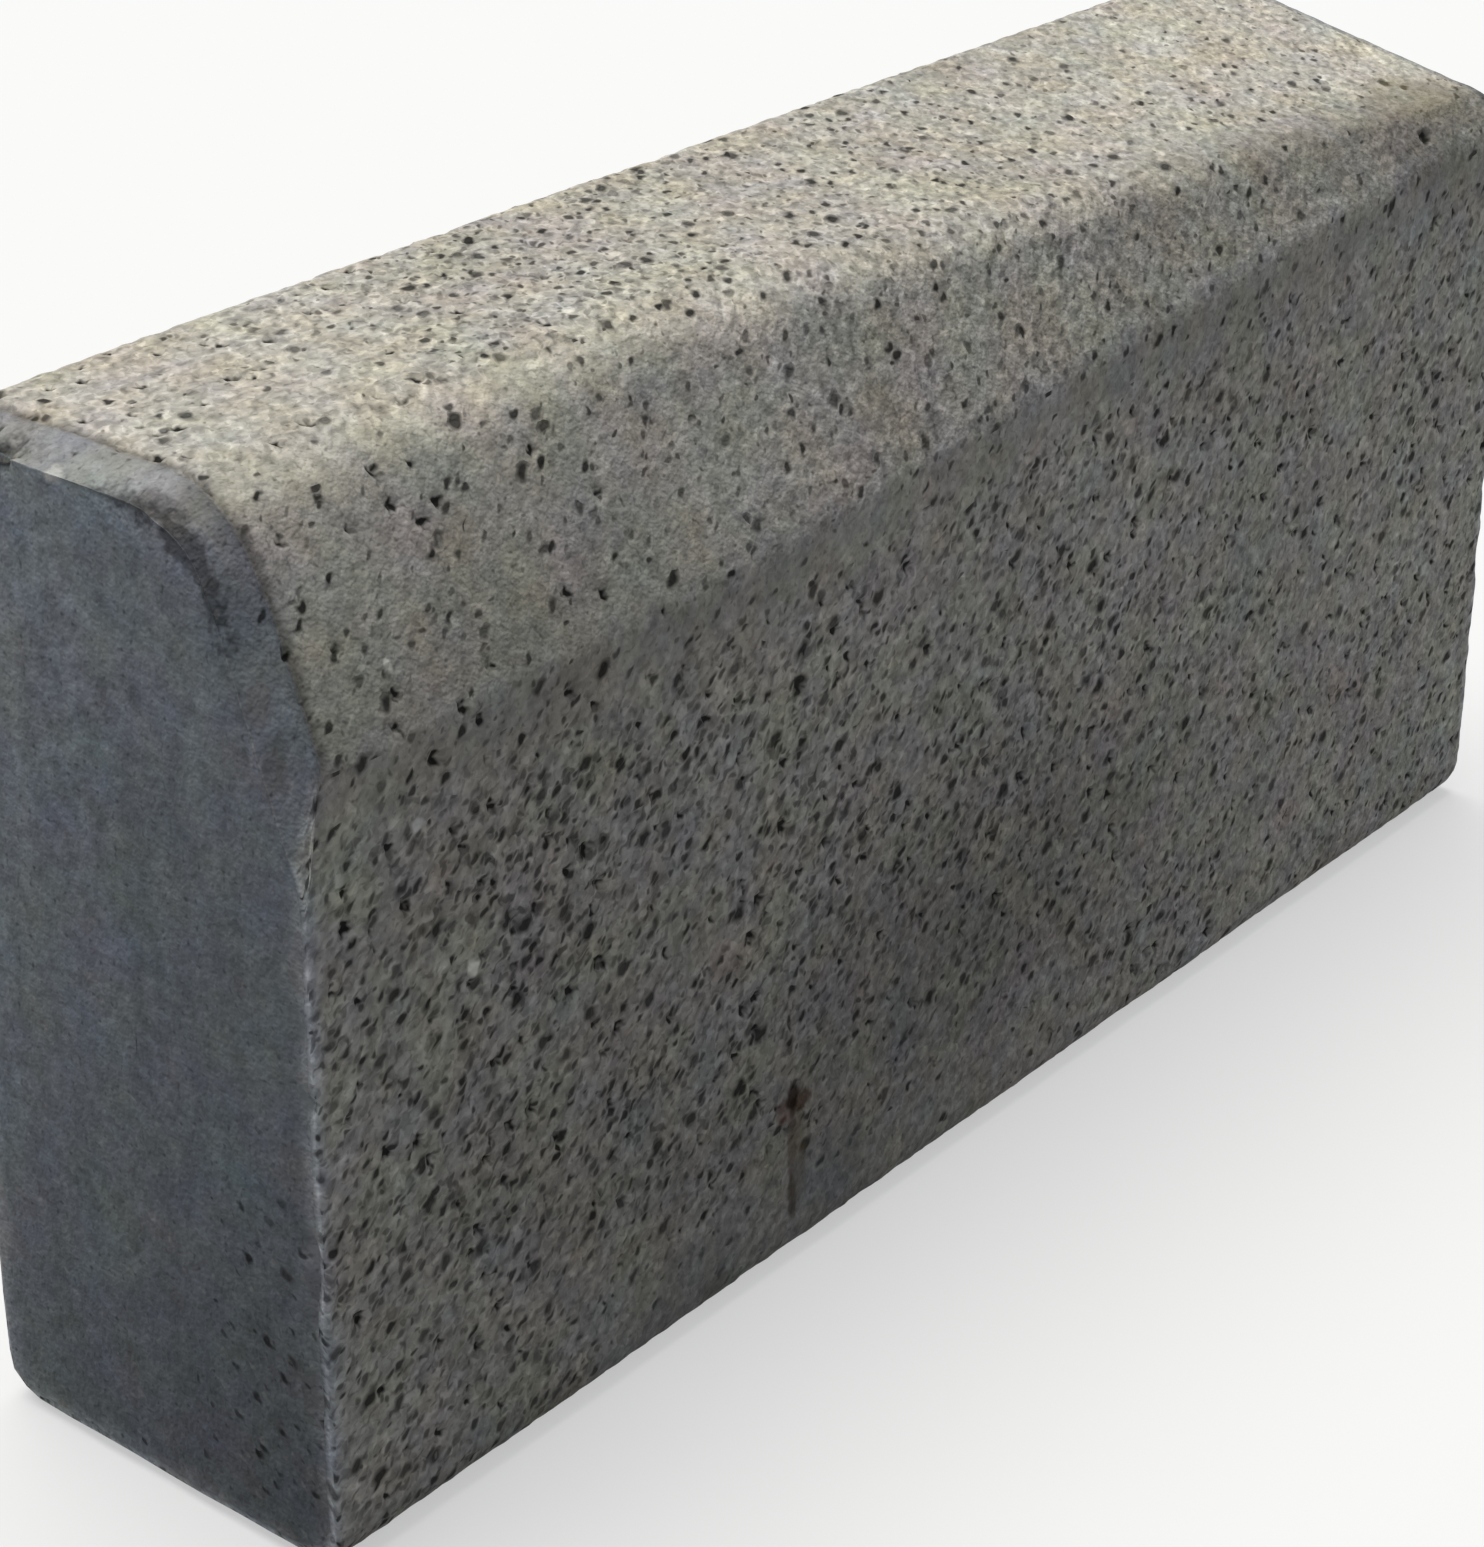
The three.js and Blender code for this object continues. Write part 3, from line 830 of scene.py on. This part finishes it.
def air_holes(tree, place, ragged, drawn_out, mark):
    """How dark the air holes are, which is painted shade inside them: three sizes of pores,
    those that were dragged as the mould was drawn off the road face, short worms where shallow
    ones run together, and the cavities of the mesh with a broken edge. Also gives the widest
    pores, which the bump sinks."""
    open_here = mark["openness"]
    worms = add(tree, "ShaderNodeTexNoise", {
        "Vector": drawn_out, "Scale": 1 / WORM_SIZE, "Detail": 1.0}, noise_dimensions="2D")
    worms = add(tree, "ShaderNodeMapRange", {
        "Value": worms, "From Min": WORM_TONES[0], "From Max": WORM_TONES[1],
        "To Max": WORM_DARKNESS})
    worms = add(tree, "ShaderNodeMath", {0: worms, 1: open_here}, operation="MULTIPLY")
    cavity = add(tree, "ShaderNodeTexNoise", {
        "Vector": place, "Scale": 1 / RAGGED_SIZE, "Detail": 0.0}, noise_dimensions="2D")
    cavity = add(tree, "ShaderNodeMath", {0: cavity, 1: mark["hole"]}, operation="ADD")
    cavity = add(tree, "ShaderNodeMapRange", {
        "Value": cavity, "From Min": RAGGED_TONES[0], "From Max": RAGGED_TONES[1]})
    dents = pores(tree, ragged, *WIDE_PORES, open_here)
    holes = dents
    for layer, darkness in (
            (pores(tree, ragged, *MIDDLING_PORES, open_here), 1),
            (cavity, 1),
            (worms, 1),
            (pores(tree, ragged, *FINE_PORES, open_here), FINE_DARKNESS),
            (pores(tree, ragged, *DRAGGED_PORES, mark["drag"], DRAG_STRETCH, DRAG_SLANT), 1)):
        layer = add(tree, "ShaderNodeMath", {0: layer, 1: darkness}, operation="MULTIPLY")
        holes = add(tree, "ShaderNodeMath", {0: holes, 1: layer}, operation="MAXIMUM")
    return holes, dents


def pressed_concrete():
    """Weathered vibropressed concrete. To the eye it is dry and matt: grey paste peppered with
    sand and dark air holes, their darkness painted shade; bleached on top, with painted light
    there; smooth and blue-grey where the mould held it, partly painted shade; and with a faint
    sheen that its holes and its rust lack."""
    material, tree = new_material("weathered pressed concrete")
    where = add(tree, "ShaderNodeTexCoord", {}, "Object")
    place = add(tree, "ShaderNodeUVMap", {}, uv_map="surface")
    mark = {name: add(tree, "ShaderNodeAttribute", {}, "Fac", attribute_name=name)
            for name in MARKS}

    # Outlines wander by about half a millimetre, so that no pore is round. Sand and worms are
    # drawn out the way that the pores are.
    wander = add(tree, "ShaderNodeTexNoise", {
        "Vector": place, "Scale": 1 / WANDER_SIZE, "Detail": 0.0}, "Color",
        noise_dimensions="2D")
    wander = add(tree, "ShaderNodeVectorMath", {0: wander, 1: (0.5,) * 3}, operation="SUBTRACT")
    ragged, smudged = (
        add(tree, "ShaderNodeVectorMath", {0: wander, 1: WANDER, 2: start},
            operation="MULTIPLY_ADD") for start in (place, where))
    drawn_out = add(tree, "ShaderNodeMapping", {
        "Vector": ragged, "Rotation": (0, 0, PORE_SLANT), "Scale": (GRIT_STRETCH, 1, 1)},
        vector_type="TEXTURE")

    colour = concrete_paste(tree, where, mark)
    colour = sand_and_clouds(tree, colour, where, place, drawn_out, mark)
    holes, dents = air_holes(tree, place, ragged, drawn_out, mark)

    # Each kind of painted shade or dirt leaves this share of the light where it is full. Painted
    # shade lies in the air holes, in part of the grime, at the foot, in the witness groove, in the
    # spalls and broken corner along with their darker concrete, and down each end chamfer.
    # The spalls and the broken corner are darkened: painted shade in their hollows, and darker
    # broken concrete.
    spalled_and_shaded = add(tree, "ShaderNodeTexNoise", {
        "Vector": where, "Scale": 1 / SPALL_SIZE, "Detail": 1.0})
    spalled_and_shaded = add(tree, "ShaderNodeMath", {0: spalled_and_shaded, 1: mark["dark_rim"]}, operation="ADD")
    spalled_and_shaded = add(tree, "ShaderNodeMapRange", {
        "Value": spalled_and_shaded, "From Min": SPALL_TONES[0], "From Max": SPALL_TONES[1]})
    for cover, remains in ((holes, 0.04), (mark["grime_and_shade"], 0.0), (mark["foot"], 0.55),
                           (mark["witness"], 0.38), (spalled_and_shaded, 0.36), (mark["shaded"], 0.52)):
        shade = add(tree, "ShaderNodeMapRange", {"Value": cover, "To Min": 1, "To Max": remains})
        colour = add(tree, "ShaderNodeMix", {FACTOR: 1, FIRST: colour, SECOND: shade}, MIXED,
                     data_type="RGBA", blend_type="MULTIPLY")

    # Pale sand grains show between the pores.
    grains = pores(tree, ragged, *PALE_GRAINS, 1.0)
    grains = add(tree, "ShaderNodeMath", {0: grains, 1: PALE_GRAIN_SHARE},
                 operation="MULTIPLY")
    grains = add(tree, "ShaderNodeMath", {0: grains, 1: mark["sand"]}, operation="MULTIPLY")
    colour = add(tree, "ShaderNodeMix", {
        FACTOR: grains, FIRST: colour, SECOND: linear(SAND)}, MIXED, data_type="RGBA")

    # Stains lie over everything. Holes have little of the paste's sheen, which darkens them
    # further as painted shade, and strong stains have none.
    sheen = add(tree, "ShaderNodeMapRange", {
        "Value": holes, "To Min": PASTE_SHEEN, "To Max": PORE_SHEEN})
    for centre, reach, strength, stain in STAINS:
        cover = blot(tree, smudged, [v * MM for v in centre], [v * MM for v in reach],
                     strength)
        colour = add(tree, "ShaderNodeMix", {
            FACTOR: cover, FIRST: colour, SECOND: linear(stain)}, MIXED, data_type="RGBA")
        if strength > DULL_STAIN:
            dull = add(tree, "ShaderNodeMath", {0: 1, 1: cover}, operation="SUBTRACT")
            sheen = add(tree, "ShaderNodeMath", {0: sheen, 1: dull}, operation="MULTIPLY")

    texture = mottle(tree, where, TEXTURE_SIZE, 0.0, TEXTURE_HEIGHT)
    height = add(tree, "ShaderNodeMath", {0: texture, 1: dents}, operation="SUBTRACT")
    bump = add(tree, "ShaderNodeBump", {
        "Height": height, "Distance": BUMP_HEIGHT, "Strength": BUMP_STRENGTH})
    finish = add(tree, "ShaderNodeBsdfPrincipled", {
        "Base Color": colour, "Roughness": ROUGHNESS, "Specular IOR Level": sheen,
        "Normal": bump})
    add(tree, "ShaderNodeOutputMaterial", {"Surface": finish})
    return material


def seen_directly(tree):
    """1 for rays from the camera, a reflection or a clear body, and 0 for light itself."""
    camera = add(tree, "ShaderNodeLightPath", {}, "Is Camera Ray")
    rays = camera.node.outputs
    shown = add(tree, "ShaderNodeMath", {0: camera, 1: rays["Is Glossy Ray"]},
                operation="MAXIMUM")
    return add(tree, "ShaderNodeMath", {0: shown, 1: rays["Is Transmission Ray"]},
               operation="MAXIMUM")


CARD = "#fbfbfb"         # the floor and the backdrop as they are seen
CARD_IN_LIGHT = "#8c8c8c"           # the same card, as far as it throws light on the stone
SHADOW_LIFT = 0.5        # of the floor's shadow that its own white takes away


def studio_floor():
    """White card where it is seen, which keeps part of the stone's shadow, and a mid grey one
    for the light that it throws back."""
    material, tree = new_material("white studio card")
    seen = seen_directly(tree)
    colour = add(tree, "ShaderNodeMix", {
        FACTOR: seen, FIRST: linear(CARD_IN_LIGHT), SECOND: linear(CARD)}, MIXED,
        data_type="RGBA")
    card = add(tree, "ShaderNodeBsdfDiffuse", {"Color": colour})
    white = add(tree, "ShaderNodeEmission", {"Color": linear(CARD), "Strength": 1})
    even = add(tree, "ShaderNodeMath", {0: seen, 1: SHADOW_LIFT}, operation="MULTIPLY")
    finish = add(tree, "ShaderNodeMixShader", {0: even, 1: card, 2: white})
    add(tree, "ShaderNodeOutputMaterial", {"Surface": finish})
    return material


# ---- Set ----

FLOOR_HALF = 20.0        # metres from the middle of the floor to its sides
SKY_LEVEL = 0.30         # of the full level, from all round
SKY_COLOUR = "#f2f6fc"
KEY_LEVEL = 0.72         # of the full level, from above
KEY_COLOUR = "#fffdf8"
KEY_TILT = math.radians(14)
KEY_SPREAD = math.radians(50)


def make_floor():
    """A large card under the stone."""
    mesh = bpy.data.meshes.new("floor")
    side = FLOOR_HALF
    mesh.from_pydata([(-side, -side, 0), (side, -side, 0), (side, side, 0), (-side, side, 0)],
                     [], [(0, 1, 2, 3)])
    floor = bpy.data.objects.new("floor", mesh)
    bpy.context.collection.objects.link(floor)
    mesh.materials.append(studio_floor())


def make_light():
    """An even sky, white where it is seen, and one broad lamp above. A level surface gets
    about 1 in all."""
    world = bpy.data.worlds.new("sky")
    bpy.context.scene.world = world
    world.use_nodes = True
    tree = world.node_tree
    tree.nodes.clear()
    sky = add(tree, "ShaderNodeBackground", {
        "Color": linear(SKY_COLOUR), "Strength": SKY_LEVEL})
    white = add(tree, "ShaderNodeBackground", {"Color": (1, 1, 1, 1), "Strength": 1})
    chosen = add(tree, "ShaderNodeMixShader", {0: seen_directly(tree), 1: sky, 2: white})
    add(tree, "ShaderNodeOutputWorld", {"Surface": chosen})
    lamp = bpy.data.lights.new("key", "SUN")
    lamp.energy = math.pi * KEY_LEVEL / math.cos(KEY_TILT)
    lamp.angle = KEY_SPREAD
    lamp.color = linear(KEY_COLOUR)[:3]
    key = bpy.data.objects.new("key", lamp)
    key.rotation_euler = (-KEY_TILT, 0, 0)
    bpy.context.collection.objects.link(key)


CAMERA_TURN = math.radians(51.16)    # from square to the road face, towards the battered end
CAMERA_DROP = math.radians(23.86)
CAMERA_ROLL = math.radians(0.43)
CAMERA_DISTANCE = 0.9769
CAMERA_AIM_RIGHT = -26.75 * MM       # from the stone's middle to the point looked at
CAMERA_AIM_UP = 12.69 * MM
CAMERA_LENS = 86.72
CAMERA_SHIFT = -0.12


def make_camera():
    """A camera on a line of sight through a point beside the stone's middle."""
    ahead = Vector((math.sin(CAMERA_TURN) * math.cos(CAMERA_DROP),
                    math.cos(CAMERA_TURN) * math.cos(CAMERA_DROP), -math.sin(CAMERA_DROP)))
    level = Vector((math.cos(CAMERA_TURN), -math.sin(CAMERA_TURN), 0))
    right = Matrix.Rotation(-CAMERA_ROLL, 3, ahead) @ level
    up = right.cross(ahead)
    middle = (cad_low + cad_high) / 2
    aim = middle + right * CAMERA_AIM_RIGHT + up * CAMERA_AIM_UP
    lens = bpy.data.cameras.new("camera")
    lens.lens = CAMERA_LENS
    lens.shift_y = CAMERA_SHIFT
    camera = bpy.data.objects.new("camera", lens)
    turn = Matrix((right, up, -ahead)).transposed().to_4x4()
    camera.matrix_world = Matrix.Translation(aim - ahead * CAMERA_DISTANCE) @ turn
    bpy.context.collection.objects.link(camera)
    bpy.context.scene.camera = camera


stone = worn_stone()
stone.data.materials.append(pressed_concrete())
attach(stone, "root")
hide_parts("kerb_stone")
make_floor()
make_light()
make_camera()
bpy.context.scene.view_settings.view_transform = "Standard"
